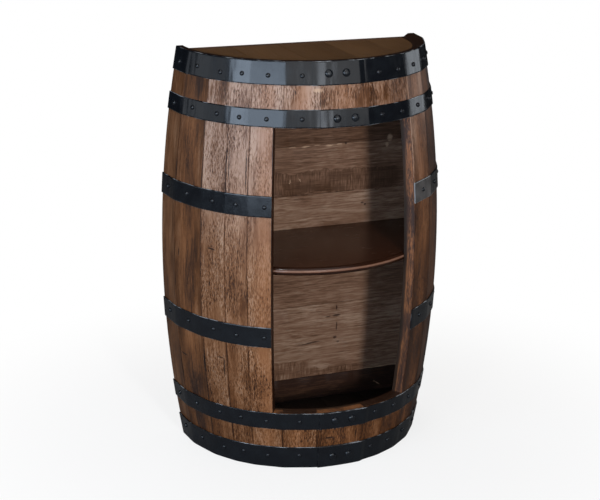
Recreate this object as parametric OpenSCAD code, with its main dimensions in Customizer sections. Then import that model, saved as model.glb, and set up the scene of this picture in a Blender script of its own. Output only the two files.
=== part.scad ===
// Barrel shelf: half of a wooden barrel stood on end, with a shelf behind an opening sawn in its front.
// Millimetres, +Z up, front towards -Y, floor at Z = 0. Angles round the barrel are in degrees from the
// middle of the front, positive towards +X. Staves are counted from the left end of the half circle.

/* [Barrel] */
// Height of the barrel, stave end to stave end
barrel_h = 900; // [820:10:980]
// Diameter of the wood at the middle of the height
bilge_d = 636; // [606:2:660]
// Diameter of the wood at the stave ends
head_d = 550; // [530:2:580]
// Thickness of the staves
stave_t = 27; // [24:0.5:30]

/* [Staves] */
// Share of the half circle that each stave takes, from left to right
stave_share = [13, 16.5, 11.5, 9.5, 13.3, 15, 21.2, 11, 11.4, 13.6, 15, 15, 14]; // [9:0.1:22]
// Width of the flat end grain round the rim
rim_flat = 12; // [9:0.5:15]
// Height of the bevel inside the rim
rim_bevel_h = 9; // [5:0.5:9.5]

/* [Opening] */
// Angle that the opening is sawn into the stave on its left
opening_notch = 3.9; // [2:0.1:6]

/* [Heads] */
// Thickness of the head boards
head_t = 22; // [18:0.5:26]
// Depth of the top head below the rim
top_recess = 10; // [10:0.5:20]
// Height of the bottom head above the floor
bottom_recess = 18; // [12:0.5:24]
// Thickness of the tongue round the heads
tongue_t = 9; // [6:0.5:12]
// Depth of the croze groove in the staves
croze_depth = 5; // [3:0.5:8]
// Joints between the head boards, from the middle line
head_joint_x = [-154, -49, 59, 159]; // [-170:1:170]

/* [Back] */
// Thickness of the back boards
back_t = 18; // [15:0.5:22]
// Share of the back's height that each board takes, from the bottom up
back_share = [86, 179, 189, 80, 114, 116, 116]; // [76:1:200]
// Distance from each end of the barrel to the back boards
back_end_gap = 10; // [6:0.5:14]
// Distance from the outside of the staves in to the ends of the back boards
back_side_gap = 8; // [4:0.5:10]

/* [Shelf] */
// Height of the top of the shelf
shelf_top = 466; // [420:1:520]
// Thickness of the shelf
shelf_t = 18; // [15:0.5:24]
// Radius that rounds the shelf's edge
shelf_round = 7; // [3:0.5:7]
// Height of the cleats under the shelf
cleat_h = 30; // [26:1:36]
// Thickness of the cleats
cleat_t = 20; // [16:0.5:24]
// Length of the back cleat
back_cleat_l = 460; // [400:5:500]
// Angle that each side cleat takes round the barrel
side_cleat_arc = 15; // [11:0.5:16]

/* [Hoops] */
// Thickness of the hoops
hoop_t = 2.5; // [1.5:0.1:3]
// Width of the top head, quarter and bilge hoops
upper_hoop_w = [48, 37, 45]; // [30:1:56]
// Distance of these hoops from the top end
upper_hoop_at = [0, 96, 274]; // [0:1:300]
// Width of the bottom head, quarter and bilge hoops
lower_hoop_w = [53, 40, 46]; // [30:1:56]
// Distance of these hoops from the bottom end
lower_hoop_at = [0, 98, 294]; // [0:1:310]
// Angle of the lap's middle from the middle of the front, top head and top quarter hoop
upper_lap_at = [-4, -1]; // [-4:0.5:2]
// Angle of the lap's middle from the middle of the front, bottom head and bottom quarter hoop
lower_lap_at = [0, 0]; // [-4:0.5:2]
// Angle from the lap's middle to its left end
lap_left = 10.5; // [9:0.5:12]
// Angle from the lap's middle to its right end
lap_right = 9; // [7:0.5:11]

/* [Fasteners] */
// Diameter of the hoop nails
nail_d = 4; // [3:0.1:5]
// Length of a hoop nail under its head
nail_l = 22; // [16:0.5:24]
// Diameter of a nail head
nail_head_d = 10; // [8:0.5:12]
// Height of a nail head
nail_head_h = 3.5; // [2:0.5:5]
// Angle between the lap's middle and each rivet
rivet_angle = 3.8; // [3:0.1:5]
// Diameter of the lap rivets
rivet_d = 7; // [5:0.5:9]
// Diameter of a rivet head
rivet_head_d = 17; // [14:0.5:20]
// Height of a rivet head
rivet_head_h = 5; // [3:0.5:7]
// Diameter of the screws
screw_d = 4.2; // [3.5:0.1:5]
// Diameter of a screw head
screw_head_d = 8.4; // [7:0.1:9]
// Length of the screws through the back boards
back_screw_l = 40; // [32:1:42]
// Length of the screws from the cleats into the back or a stave
cleat_screw_l = 32; // [28:1:34]
// Length of the screws up into the shelf
shelf_screw_l = 40; // [36:1:42]
// Distance of the back screws from the edges of their board
screw_edge = 25; // [18:1:30]
// Distance of the outer screws of the back cleat from its ends
cleat_screw_end = 70; // [50:5:100]
// Distance of the shelf screws from the ends of the back cleat
shelf_screw_end = 150; // [130:5:180]
// Angle between the screw and the shelf screw of a side cleat
shelf_screw_arc = 4; // [3:0.1:4]

/* [Clearances] */
// Gap between a hoop and the staves, and between the two layers of a lap
hoop_fit = 0.3; // [0.25:0.01:0.4]
// Gap between the heads or the shelf and the staves
seat_fit = 0.3; // [0.25:0.01:0.4]
// Gap between two neighbouring boards
board_gap = 0.4; // [0.2:0.1:0.8]
// Gap round a nail, rivet or screw
bore_fit = 0.1; // [0.05:0.01:0.2]

/* [Hidden] */
$fn = 96;
function total(v, n) = n == 0 ? 0 : v[n - 1] + total(v, n - 1);

// The shape of the barrel: a parabola that is widest at the middle of the height
profile_steps = 16;
function wood_r(z) = bilge_d / 2 - (bilge_d - head_d) / 2 * pow(2 * z / barrel_h - 1, 2);
function inner_r(z) = wood_r(z) - stave_t;

// Staves, the four that the opening cuts through, and the middle one, which carries the laps
stave_count = len(stave_share);
first_cut = 5;
cut_count = 4;
lap_stave = 6;
function stave_edge(i) = -90 + 180 * total(stave_share, i) / total(stave_share, stave_count);
function stave_mid(i) = (stave_edge(i) + stave_edge(i + 1)) / 2;
function is_cut(i) = i >= first_cut && i < first_cut + cut_count;
opening_left = stave_edge(first_cut) - opening_notch;
opening_right = stave_edge(first_cut + cut_count);

// Hoops 0 to 2 are the head, quarter and bilge hoop at the top, and 3 to 5 the same at the bottom
function hoop_low(k) = k < 3 ? barrel_h - upper_hoop_at[k] - upper_hoop_w[k] : lower_hoop_at[k - 3];
function hoop_high(k) = k < 3 ? barrel_h - upper_hoop_at[k] : lower_hoop_at[k - 3] + lower_hoop_w[k - 3];
function hoop_mid(k) = (hoop_low(k) + hoop_high(k)) / 2;
function hoop_slope(k) = (wood_r(hoop_low(k)) - wood_r(hoop_high(k))) / (hoop_high(k) - hoop_low(k));
function hoop_lean(k) = atan(hoop_slope(k));
function strip_r(k, z) = wood_r(hoop_low(k)) - hoop_slope(k) * (z - hoop_low(k)) + hoop_fit;
function hoop_r(k) = strip_r(k, hoop_mid(k)) + hoop_t;
function is_bilge(k) = k % 3 == 2;
top_quarter = 1;
bottom_quarter = 4;
function lap_mid(k) = k < 3 ? upper_lap_at[k] : lower_lap_at[k - 3];
lap_layer = hoop_t + hoop_fit;
lap_step = 1;
lap_gap = 0.4;
opening_low = hoop_high(bottom_quarter);
opening_high = hoop_low(top_quarter);

// One nail in the middle of each stave on each hoop, but none where the rivets or the opening are
function has_nail(i, k) = i != lap_stave && !(is_bilge(k) && is_cut(i));
function nailed_staves(k) = [for (i = [0 : stave_count - 1]) if (has_nail(i, k)) i];
hoops = [0 : 5];

// Heads, each between two heights, with a tongue in the middle of its thickness
top_head = [barrel_h - top_recess - head_t, barrel_h - top_recess];
bottom_head = [bottom_recess, bottom_recess + head_t];
head_boards = len(head_joint_x) + 1;
function middle(range) = (range[0] + range[1]) / 2;
function head_joint(j) = j == 0 ? -bilge_d : j == head_boards ? bilge_d : head_joint_x[j - 1];
head_half_w = inner_r(middle(top_head));
function head_side(j) = j == 0 ? -head_half_w : j == head_boards ? head_half_w : head_joint(j);

// Back boards
back_boards = len(back_share);
back_h = barrel_h - 2 * back_end_gap;
function back_edge(b) = back_end_gap + back_h * total(back_share, b) / total(back_share, back_boards);

// Shelf and cleats; each side cleat sits on the second stave from the back
shelf_low = shelf_top - shelf_t;
cleat_low = shelf_low - cleat_h;
cleat_mid = shelf_low - cleat_h / 2;
cleat_staves = [1, stave_count - 2];
cleat_screw_x = back_cleat_l / 2 - cleat_screw_end;
shelf_screw_x = back_cleat_l / 2 - shelf_screw_end;

// Screws in the back: two at each end of a board, where it lies on the stave, and one into each head board
screw_head_h = (screw_head_d - screw_d) / 2;
function back_screw_x(z) = wood_r(z) - (back_side_gap + stave_t) / 2;
function back_screw_z(b) = [back_edge(b) + screw_edge, back_edge(b + 1) - screw_edge];
head_screw_x = [for (j = [0 : head_boards - 1]) (head_side(j) + head_side(j + 1)) / 2];

// The origin lies under the middle of the whole object, front to back
front_reach = hoop_r(bottom_quarter) + lap_layer + rivet_head_h;
frame_y = round((front_reach - back_t) / 2);

function numbered(name, n) = [for (i = [1 : n]) str(name, i)];
full_left = first_cut;
full_right = stave_count - first_cut - cut_count;
hoop_names = ["top_head_hoop", "top_quarter_hoop", "top_bilge_hoop",
              "bottom_head_hoop", "bottom_quarter_hoop", "bottom_bilge_hoop"];

stave_tones = ["#5b3a2a", "#6d4c38", "#7a5b44", "#6a4732"];
board_tones = ["#6e5040", "#5f4334", "#765846"];
steel = "#24272c";
bright_steel = "#8d8f92";

// Turns a flat profile into the stretch of the barrel between two angles
module sector(from, to) {
    rotate([0, 0, from - 90]) rotate_extrude(angle = to - from) children();
}

// Puts a thing that points along +Z on the outside of a hoop, square to its surface
module on_hoop(k, angle, layer = 0) {
    rotate([0, 0, angle]) translate([0, -hoop_r(k) - layer, hoop_mid(k)])
        rotate([90 - hoop_lean(k), 0, 0]) children();
}

// Outline of a stave: outside, bevelled rims, and the two croze grooves inside
function groove(head, side) = middle(head) + side * (tongue_t / 2 + seat_fit);
function groove_points(head, side) = [
    [inner_r(groove(head, side)), groove(head, side)],
    [inner_r(groove(head, side)) + croze_depth, groove(head, side)],
    [inner_r(groove(head, -side)) + croze_depth, groove(head, -side)],
    [inner_r(groove(head, -side)), groove(head, -side)]];
stave_profile = concat(
    [for (s = [0 : profile_steps]) let (z = barrel_h * s / profile_steps) [wood_r(z), z]],
    [[wood_r(barrel_h) - rim_flat, barrel_h], [inner_r(barrel_h - rim_bevel_h), barrel_h - rim_bevel_h]],
    groove_points(top_head, 1),
    [for (s = [1 : profile_steps - 1])
        let (top = groove(top_head, -1), low = groove(bottom_head, 1))
        let (z = top + (low - top) * s / profile_steps) [inner_r(z), z]],
    groove_points(bottom_head, 1),
    [[inner_r(rim_bevel_h), rim_bevel_h], [wood_r(0) - rim_flat, 0]]);

module nail_shape() {
    rotate_extrude() polygon([
        [0, -nail_l], [nail_d * 0.3, -nail_l], [nail_d / 2, -nail_l + nail_d], [nail_d / 2, 0],
        [nail_head_d / 2, 0], [nail_head_d * 0.4, nail_head_h * 0.7],
        [nail_head_d * 0.2, nail_head_h], [0, nail_head_h]]);
}

module rivet_shape() {
    rotate_extrude() polygon([
        [0, -lap_layer - hoop_t], [rivet_d / 2, -lap_layer - hoop_t], [rivet_d / 2, 0],
        [rivet_head_d / 2, 0], [rivet_head_d * 0.45, rivet_head_h * 0.45],
        [rivet_head_d * 0.33, rivet_head_h * 0.82], [rivet_head_d * 0.17, rivet_head_h], [0, rivet_head_h]]);
}

// A countersunk screw, or the hole for it; the flat of the head is at Z = 0 and the tip points down
module screw_shape(length, grow = 0) {
    above = grow > 0 ? 1 : 0;
    rotate_extrude() polygon([
        [0, above], [screw_head_d / 2 + grow, above], [screw_head_d / 2 + grow, 0],
        [screw_d / 2 + grow, -screw_head_h - grow], [screw_d / 2 + grow, -length + screw_d - grow],
        [screw_d / 5, -length - grow], [0, -length - grow]]);
}

module back_screw_places(side, boards = [0 : back_boards - 1]) {
    for (b = boards, z = back_screw_z(b))
        translate([side * back_screw_x(z), back_t, z]) rotate([-90, 0, 0]) children();
}

module head_screw_places(head, j) {
    translate([head_screw_x[j], back_t, middle(head)]) rotate([-90, 0, 0]) children();
}

module back_cleat_screw_places() {
    for (x = [-cleat_screw_x, 0, cleat_screw_x])
        translate([x, -cleat_t, cleat_mid]) rotate([90, 0, 0]) children();
}

module side_cleat_screw_place(angle) {
    rotate([0, 0, angle]) translate([0, -inner_r(cleat_mid) + cleat_t, cleat_mid])
        rotate([-90, 0, 0]) children();
}

module shelf_screw_places() {
    for (x = [-shelf_screw_x, shelf_screw_x])
        translate([x, -cleat_t / 2, cleat_low]) rotate([180, 0, 0]) children();
    for (i = cleat_staves)
        rotate([0, 0, stave_mid(i) + shelf_screw_arc])
            translate([0, -inner_r(cleat_mid) + cleat_t / 2, cleat_low]) rotate([180, 0, 0]) children();
}

// Holes for the nails of one stave, between two heights
module nail_holes(i, low, high) {
    for (k = hoops)
        if (has_nail(i, k) && hoop_mid(k) > low && hoop_mid(k) < high)
            on_hoop(k, stave_mid(i)) translate([0, 0, -nail_l - 1])
                cylinder(d = nail_d + 2 * bore_fit, h = nail_l + 2);
}

module stave(i, low = 0, high = barrel_h) {
    color(stave_tones[i % len(stave_tones)]) difference() {
        sector(stave_edge(i), stave_edge(i + 1))
            if (low > 0 || high < barrel_h) intersection() {
                polygon(stave_profile);
                translate([0, low]) square([bilge_d, high - low]);
            }
            else polygon(stave_profile);
        nail_holes(i, low, high);
        if (i == first_cut - 1)
            sector(opening_left, stave_edge(first_cut) + 1)
                translate([head_d / 4, opening_low]) square([bilge_d / 2, opening_high - opening_low]);
        if (i == 0) back_screw_places(-1) screw_shape(back_screw_l, bore_fit);
        if (i == stave_count - 1) back_screw_places(1) screw_shape(back_screw_l, bore_fit);
        if (i == cleat_staves[0] || i == cleat_staves[1])
            side_cleat_screw_place(stave_mid(i)) screw_shape(cleat_screw_l, bore_fit);
    }
}

// Cross-section of a hoop between two layers above the wood, or of a cut, which runs past both edges
module strip_profile(k, inside, outside, past = 0) {
    low = hoop_low(k) - past;
    high = hoop_high(k) + past;
    polygon([[strip_r(k, low) + inside, low], [strip_r(k, low) + outside, low],
             [strip_r(k, high) + outside, high], [strip_r(k, high) + inside, high]]);
}

module hoop_left(k) {
    end = is_bilge(k) ? opening_left : lap_mid(k) + lap_right;
    color(steel) difference() {
        sector(-90, end) strip_profile(k, 0, hoop_t);
        hoop_holes(k, -90, end);
    }
}

// The right strip steps up over the end of the left one, where they are riveted
module hoop_right(k) {
    start = is_bilge(k) ? opening_right : lap_mid(k) - lap_left;
    color(steel) difference() {
        sector(start, 90) strip_profile(k, 0, is_bilge(k) ? hoop_t : lap_layer + hoop_t);
        if (!is_bilge(k)) lap_cuts(k);
        hoop_holes(k, start, 90);
    }
}

// What is cut from a right strip: the lower layer at its lap, and the upper layer past it
module lap_cuts(k) {
    step = lap_mid(k) + lap_right + lap_gap;
    sector(lap_mid(k) - lap_left - 1, step) strip_profile(k, -hoop_t, lap_layer, past = 1);
    sector(step + lap_step, 91) strip_profile(k, hoop_t, lap_layer + 2 * hoop_t, past = 1);
}

module hoop_holes(k, from, to) {
    for (i = nailed_staves(k))
        if (stave_mid(i) > from && stave_mid(i) < to)
            on_hoop(k, stave_mid(i)) translate([0, 0, -3 * hoop_t])
                cylinder(d = nail_d + 2 * bore_fit, h = 6 * hoop_t);
    if (!is_bilge(k))
        for (side = [-1, 1]) on_hoop(k, lap_mid(k) + side * rivet_angle) translate([0, 0, -3 * hoop_t])
            cylinder(d = rivet_d + 2 * bore_fit, h = 8 * hoop_t);
}

module hoop_nails() {
    color(steel) for (k = hoops, i = nailed_staves(k)) on_hoop(k, stave_mid(i)) nail_shape();
}

module lap_rivets() {
    color(steel) for (k = hoops, side = [-1, 1])
        if (!is_bilge(k)) on_hoop(k, lap_mid(k) + side * rivet_angle, lap_layer) rivet_shape();
}

// Half of a round head, with its tongue
module head_half(head) {
    low = middle(head) - tongue_t / 2;
    high = middle(head) + tongue_t / 2;
    sector(-90, 90) polygon([
        [0, head[0]], [inner_r(head[0]) - seat_fit, head[0]], [inner_r(low) - seat_fit, low],
        [inner_r(low) + croze_depth - seat_fit, low], [inner_r(high) + croze_depth - seat_fit, high],
        [inner_r(high) - seat_fit, high], [inner_r(head[1]) - seat_fit, head[1]], [0, head[1]]]);
}

module head_board(head, j) {
    gap = board_gap / 2;
    color(board_tones[j % len(board_tones)]) difference() {
        intersection() {
            head_half(head);
            translate([head_joint(j) + gap, -bilge_d, head[0] - 1])
                cube([head_joint(j + 1) - head_joint(j) - 2 * gap, 2 * bilge_d, head_t + 2]);
        }
        head_screw_places(head, j) screw_shape(back_screw_l, bore_fit);
    }
}

// A back board, whose ends follow the curve of the barrel
module back_board(b) {
    low = back_edge(b) + (b > 0 ? board_gap / 2 : 0);
    high = back_edge(b + 1) - (b < back_boards - 1 ? board_gap / 2 : 0);
    ends = [for (s = [0 : 3]) let (z = low + (high - low) * s / 3) [wood_r(z) - back_side_gap, z]];
    color(board_tones[b % len(board_tones)]) difference() {
        translate([0, back_t, 0]) rotate([90, 0, 0]) linear_extrude(back_t)
            polygon(concat(ends, [for (s = [3 : -1 : 0]) [-ends[s][0], ends[s][1]]]));
        for (side = [-1, 1]) back_screw_places(side, [b]) screw_shape(back_screw_l, bore_fit);
        for (j = [0 : head_boards - 1]) {
            if (b == 0) head_screw_places(bottom_head, j) screw_shape(back_screw_l, bore_fit);
            if (b == back_boards - 1) head_screw_places(top_head, j) screw_shape(back_screw_l, bore_fit);
        }
        if (back_edge(b) < cleat_mid + screw_d && back_edge(b + 1) > cleat_mid - screw_d)
            back_cleat_screw_places() screw_shape(cleat_screw_l, bore_fit);
    }
}

module shelf() {
    edge = inner_r(shelf_low) - 1.5 * seat_fit - shelf_round;
    corner = [for (s = [0 : 4]) let (a = 90 * s / 4) shelf_round * [cos(a), sin(a)]];
    color("#3a2318") difference() {
        sector(-90, 90) polygon(concat(
            [[0, shelf_low]],
            [for (s = [4 : -1 : 0]) [edge + corner[s][0], shelf_low + shelf_round - corner[s][1]]],
            [for (s = [0 : 4]) [edge + corner[s][0], shelf_top - shelf_round + corner[s][1]]],
            [[0, shelf_top]]));
        shelf_screw_places() screw_shape(shelf_screw_l, bore_fit);
    }
}

module back_cleat() {
    color(board_tones[1]) difference() {
        translate([-back_cleat_l / 2, -cleat_t, cleat_low]) cube([back_cleat_l, cleat_t, cleat_h]);
        back_cleat_screw_places() screw_shape(cleat_screw_l, bore_fit);
        shelf_screw_places() screw_shape(shelf_screw_l, bore_fit);
    }
}

module side_cleat(angle) {
    reach = inner_r(cleat_low) - 1.5 * seat_fit;
    color(board_tones[1]) difference() {
        sector(angle - side_cleat_arc / 2, angle + side_cleat_arc / 2)
            translate([inner_r(cleat_mid) - cleat_t, cleat_low])
                square([reach - inner_r(cleat_mid) + cleat_t, cleat_h]);
        side_cleat_screw_place(angle) screw_shape(cleat_screw_l, bore_fit);
        shelf_screw_places() screw_shape(shelf_screw_l, bore_fit);
    }
}

module back_screws() {
    color(bright_steel) for (side = [-1, 1]) back_screw_places(side) screw_shape(back_screw_l);
}

module head_screws() {
    color(bright_steel) for (head = [top_head, bottom_head], j = [0 : head_boards - 1])
        head_screw_places(head, j) screw_shape(back_screw_l);
}

module cleat_screws() {
    color(bright_steel) {
        back_cleat_screw_places() screw_shape(cleat_screw_l);
        for (i = cleat_staves) side_cleat_screw_place(stave_mid(i)) screw_shape(cleat_screw_l);
    }
}

module shelf_screws() {
    color(bright_steel) shelf_screw_places() screw_shape(shelf_screw_l);
}

module placed() {
    translate([0, frame_y, 0]) children();
}

for (i = [0 : full_left - 1])
    placed() stave(i);
for (i = [0 : full_right - 1])
    placed() stave(first_cut + cut_count + i);
for (i = [0 : cut_count - 1])
    placed() stave(first_cut + i, low = opening_high);
for (i = [0 : cut_count - 1])
    placed() stave(first_cut + i, high = opening_low);
for (k = hoops)
    placed() hoop_left(k);
for (k = hoops)
    placed() hoop_right(k);
placed() hoop_nails();
placed() lap_rivets();
for (j = [0 : head_boards - 1])
    placed() head_board(top_head, j);
for (j = [0 : head_boards - 1])
    placed() head_board(bottom_head, j);
for (b = [0 : back_boards - 1])
    placed() back_board(b);
placed() shelf();
placed() back_cleat();
placed() side_cleat(stave_mid(cleat_staves[0]));  // left_cleat
placed() side_cleat(stave_mid(cleat_staves[1]));  // right_cleat
placed() back_screws();
placed() head_screws();
placed() cleat_screws();
placed() shelf_screws();
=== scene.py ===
"""The looks of a barrel shelf: half an oak barrel on end, with a round-fronted shelf behind a sawn opening.

Lengths are millimetres until a vertex is placed, and then metres. An angle round the barrel is in degrees
from the middle of the front, positive towards +X, and staves count from the left end of the half circle.
"""
import logging
import math
import random
from dataclasses import dataclass
from enum import Enum
from functools import partial
from typing import Any, Callable, Optional, Sequence

import bmesh
import bpy
from mathutils import Matrix, Vector, noise


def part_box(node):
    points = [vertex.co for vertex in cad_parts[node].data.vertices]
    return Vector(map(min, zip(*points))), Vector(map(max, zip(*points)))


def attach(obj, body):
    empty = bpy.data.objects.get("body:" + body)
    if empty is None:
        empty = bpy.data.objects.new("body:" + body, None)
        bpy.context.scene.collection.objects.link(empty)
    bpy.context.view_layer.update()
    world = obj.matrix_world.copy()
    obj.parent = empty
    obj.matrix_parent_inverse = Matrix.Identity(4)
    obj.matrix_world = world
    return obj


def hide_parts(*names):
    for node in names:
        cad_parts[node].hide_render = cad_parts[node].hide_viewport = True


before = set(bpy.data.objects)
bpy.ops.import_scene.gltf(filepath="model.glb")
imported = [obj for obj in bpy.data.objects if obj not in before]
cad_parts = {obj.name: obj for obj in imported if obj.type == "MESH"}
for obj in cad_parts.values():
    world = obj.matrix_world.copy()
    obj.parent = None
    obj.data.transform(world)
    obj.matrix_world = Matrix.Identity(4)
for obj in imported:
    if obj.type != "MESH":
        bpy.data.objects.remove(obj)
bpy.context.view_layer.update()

MM = 0.001
SAME = 0.01  # millimetres under which two places are one
WELD = 1e-6  # metres under which two vertices are one
LOG = logging.getLogger("barrel_shelf")

Profile = Sequence[tuple[float, float]]
Shape = bmesh.types.BMesh
Edge = bmesh.types.BMEdge
Tree = bpy.types.NodeTree
Node = bpy.types.ShaderNode
Material = bpy.types.Material
Shade = Callable[[Vector], float]
Move = Callable[[float, float, float], float]


def linear(hex_colour: str) -> tuple[float, float, float, float]:
    """Turns an sRGB hex colour into the linear colour that a shader socket takes.

    Args:
        hex_colour: Six hex digits with a leading hash.

    Returns:
        Red, green, blue and alpha, linear.
    """
    parts = [int(hex_colour[i:i + 2], 16) / 255 for i in (1, 3, 5)]
    curve = [c / 12.92 if c <= 0.04045 else ((c + 0.055) / 1.055) ** 2.4 for c in parts]
    return curve[0], curve[1], curve[2], 1.0


class Value:
    """One output of a shader node. Arithmetic with it adds a node, whose output is a Value again."""

    def __init__(self, node: Node, output: Any = 0) -> None:
        """Takes an output by name or number."""
        self.node, self.tree, self.socket = node, node.id_data, node.outputs[output]

    def maths(self, operation: str, first: Any, second: Any) -> "Value":
        """Does one operation on two numbers or Values."""
        return add_node(self.tree, "ShaderNodeMath", {0: first, 1: second}, operation=operation)

    def __add__(self, other: Any) -> "Value":
        """Adds."""
        return self.maths("ADD", self, other)

    def __sub__(self, other: Any) -> "Value":
        """Subtracts."""
        return self.maths("SUBTRACT", self, other)

    def __rsub__(self, other: float) -> "Value":
        """Subtracts this from a number."""
        return self.maths("SUBTRACT", other, self)

    def __mul__(self, other: Any) -> "Value":
        """Multiplies."""
        return self.maths("MULTIPLY", self, other)

    def ramp(self, low: float, high: float) -> "Value":
        """Stretches the part from low to high to the range 0 to 1, smoothly; high may be under low."""
        inputs = {"Value": self, "From Min": low, "From Max": high}
        return add_node(self.tree, "ShaderNodeMapRange", inputs, interpolation_type="SMOOTHSTEP")

    def mix(self, first: Any, second: Any) -> "Value":
        """Mixes two colours, with this as the share of the second."""
        return add_node(self.tree, "ShaderNodeMix", {0: self, 6: first, 7: second}, 2, data_type="RGBA")

    def parts(self) -> tuple["Value", "Value", "Value"]:
        """Splits a vector into its three numbers."""
        first = add_node(self.tree, "ShaderNodeSeparateXYZ", {0: self})
        return first, Value(first.node, 1), Value(first.node, 2)

    def moved(self, across: Any, along: Any = 0.0) -> "Value":
        """Moves a place in the grain."""
        shift = add_node(self.tree, "ShaderNodeCombineXYZ", {0: across, 2: along})
        return add_node(self.tree, "ShaderNodeVectorMath", {0: self, 1: shift}, operation="ADD")

    def ragged(self, unevenness: "Value", reach: float) -> "Value":
        """Moves a place about by a noise, so that what is drawn there gets a ragged outline."""
        away = (unevenness - 0.5) * reach
        return self.moved(away, away)


def connect(node: Node, inputs: dict[Any, Any]) -> None:
    """Sets up some inputs of a node.

    Args:
        node: The node.
        inputs: Socket name or number to a Value, which is linked, or to a plain value or a hex colour.
    """
    for name, value in inputs.items():
        if isinstance(value, Value):
            node.id_data.links.new(value.socket, node.inputs[name])
        else:
            node.inputs[name].default_value = linear(value) if isinstance(value, str) else value


def add_node(tree: Tree, kind: str, inputs: Optional[dict[Any, Any]] = None, output: Any = 0,
             **settings: Any) -> Value:
    """Adds one node, sets it up and links it.

    Args:
        tree: The node tree that gets the node.
        kind: The node's type name.
        inputs: Its inputs, as connect takes them.
        output: The output that is wanted.
        **settings: Properties of the node.

    Returns:
        That output.
    """
    node = tree.nodes.new(kind)
    for name, value in settings.items():
        setattr(node, name, value)
    connect(node, inputs or {})
    return Value(node, output)


def noise_at(place: Value, scale: float, detail: float, **others: float) -> Value:
    """Adds a noise that is read at a place."""
    inputs = {"Vector": place, "Scale": scale, "Detail": detail, **others}
    return add_node(place.tree, "ShaderNodeTexNoise", inputs)


def greatest(tree: Tree, values: Sequence[Value]) -> Value:
    """Gives the greatest of some Values.

    Args:
        tree: The node tree.
        values: The Values.

    Returns:
        The greatest, or 0 where there are none.
    """
    top = add_node(tree, "ShaderNodeValue")
    top.socket.default_value = 0.0
    for value in values:
        top = top.maths("MAXIMUM", top, value)
    return top


def new_material(name: str) -> tuple[Material, Tree, Node]:
    """Makes a material.

    Args:
        name: Its name.

    Returns:
        The material, its node tree and its shader.
    """
    material = bpy.data.materials.new(name)
    material.use_nodes = True
    return material, material.node_tree, material.node_tree.nodes["Principled BSDF"]


def spread(first: float, last: float, count: int) -> list[float]:
    """Gives even steps from one number to another."""
    return [first + (last - first) * i / count for i in range(count + 1)]


def share(value: float, start: float, end: float) -> float:
    """Says how far a value has come from one limit to another, from 0 to 1."""
    return min(1.0, max(0.0, (value - start) / (end - start)))


def heights(name: str) -> tuple[float, float]:
    """Gives the lower and the upper end of a node of the frame, in millimetres."""
    low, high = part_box(name)
    return low.z / MM, high.z / MM


def shift(x: float, y: float, z: float) -> Matrix:
    """Gives a move in metres."""
    return Matrix.Translation((x, y, z))


def turn(degrees: float, axis: str) -> Matrix:
    """Gives a turn about an axis."""
    return Matrix.Rotation(math.radians(degrees), 4, axis)


def facing(azimuth: float, elevation: float) -> Matrix:
    """Gives the turn of a lamp or a camera that looks at the barrel from an azimuth and an elevation."""
    return turn(azimuth, "Z") @ turn(90 - elevation, "X")


@dataclass(frozen=True)
class Barrel:
    """The barrel's shape, which every piece is worked out from."""

    height: float = 900.0
    bilge_d: float = 636.0
    head_d: float = 550.0
    stave_t: float = 27.0
    shares: tuple[float, ...] = (13, 16.5, 11.5, 9.5, 13.3, 15, 21.2, 11, 11.4, 13.6, 15, 15, 14)
    flat_depth: float = 2.2
    bend: float = 1.7
    axis_y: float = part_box("shelf")[1].y / MM

    def wood_r(self, z: float) -> float:
        """Radius of the outside of the staves at a height."""
        return self.bilge_d / 2 - (self.bilge_d - self.head_d) / 2 * (2 * z / self.height - 1) ** 2

    def inner_r(self, z: float) -> float:
        """Radius of the inside of the staves at a height."""
        return self.wood_r(z) - self.stave_t

    def edge(self, stave: int) -> float:
        """Angle of the left side of a stave, or of the right end for one past the last."""
        return -90 + 180 * sum(self.shares[:stave]) / sum(self.shares)

    def middle(self, stave: int) -> float:
        """Angle of the middle of a stave."""
        return (self.edge(stave) + self.edge(stave + 1)) / 2

    def half(self, stave: int) -> float:
        """Half the angle that a stave takes."""
        return (self.edge(stave + 1) - self.edge(stave)) / 2

    def stave_at(self, angle: float) -> int:
        """Number of the stave at an angle."""
        last = len(self.shares) - 1
        return next((i for i in range(last) if angle < self.edge(i + 1)), last)

    def flat(self, angle: float, z: float) -> float:
        """How far the face of a stave lies inside the true circle, because a stave is planed almost flat.

        Args:
            angle: Angle round the barrel.
            z: Height.

        Returns:
            A depth, which is nothing at the joints and greatest in the middle of a stave.
        """
        stave = self.stave_at(angle)
        away = min(1.0, abs(angle - self.middle(stave)) / self.half(stave))
        chord = self.wood_r(z) * (1 - math.cos(math.radians(self.half(stave))))
        return min(self.flat_depth, chord) * (1 - away * away)

    def blended_flat(self, angle: float, z: float) -> float:
        """The same for a steel strip, which bends in a small curve over each joint."""
        steps = spread(angle - self.bend, angle + self.bend, 8)
        return sum(self.flat(step, z) for step in steps) / len(steps)

    def place(self, angle: float, radius: float, z: float) -> Vector:
        """Turns a place round the barrel into a point in metres."""
        rad = math.radians(angle)
        return Vector((radius * math.sin(rad), self.axis_y - radius * math.cos(rad), z)) * MM

    def polar(self, point: Vector) -> tuple[float, float, float]:
        """Turns a point in metres into its angle, radius and height."""
        x, y, z = point / MM
        return math.degrees(math.atan2(x, self.axis_y - y)), math.hypot(x, self.axis_y - y), z


BARREL = Barrel()


class Grain(Enum):
    """How the fibres of a board run: along a stave, from front to back, or from side to side."""

    STAVE = "stave"
    FRONT_TO_BACK = "front to back"
    SIDE_TO_SIDE = "side to side"

    def coordinates(self, point: Vector) -> Vector:
        """Gives a point's place in the grain of its board.

        Args:
            point: The point, in metres.

        Returns:
            Millimetres across the fibres, through the board, and along the fibres.
        """
        if self is Grain.STAVE:
            angle, radius, z = BARREL.polar(point)
            return Vector((math.radians(angle) * BARREL.bilge_d / 2, BARREL.wood_r(z) - radius, z))
        x, y, z = point / MM
        return Vector((x, z, y)) if self is Grain.FRONT_TO_BACK else Vector((z, y, x))


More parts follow.
